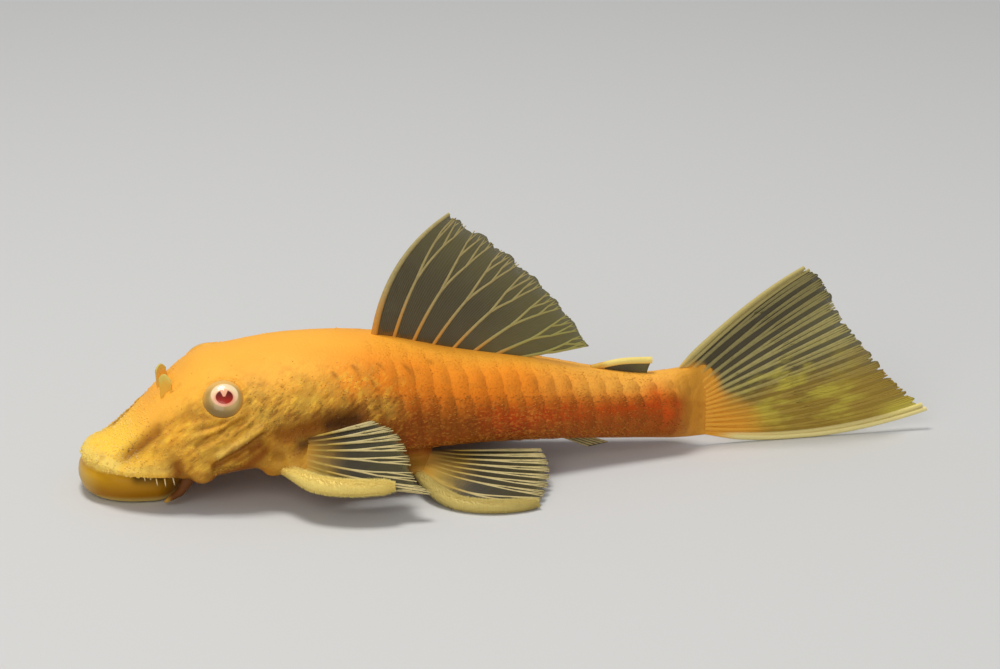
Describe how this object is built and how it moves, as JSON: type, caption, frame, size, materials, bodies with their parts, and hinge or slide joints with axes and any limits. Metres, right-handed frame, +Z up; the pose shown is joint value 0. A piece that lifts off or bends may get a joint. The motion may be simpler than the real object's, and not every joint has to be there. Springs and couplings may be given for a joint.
{
  "type": "bristlenose pleco",
  "caption": "Life-size orange bristlenose pleco at rest on its mouth disc and pelvic fins, with a raised dorsal fin and a fanned tail fin.",
  "frame": {"origin": "on the floor, under the middle of the fish's box", "axes": "+X towards the tail, +Y towards the fish's right side, +Z up"},
  "size_m": [0.114, 0.0416, 0.0343],
  "materials": {
    "skin": "bony plates with rows of fine bristles, golden on the head and orange to red on the flank",
    "lip": "soft moist skin, amber",
    "eye": "clear wet cornea over a cream iris and a dark red pupil",
    "fin": "thin clear membrane between pale yellow rays"
  },
  "bodies": {
    "root": {"head": "skin", "trunk": "skin", "tail_stem": "skin", "gill_cover_left": "skin", "gill_cover_right": "skin", "mouth_disc": "lip", "barbel_left": "lip", "barbel_right": "lip", "nostril_flap_left": "lip", "nostril_flap_right": "lip", "eye_left": "eye", "eye_right": "eye", "dorsal_fin": "fin", "adipose_fin": "fin", "anal_fin": "fin", "tail_fin": "fin", "pectoral_fin_left": "fin", "pectoral_fin_right": "fin", "pelvic_fin_left": "fin", "pelvic_fin_right": "fin"}
  },
  "joints": []
}
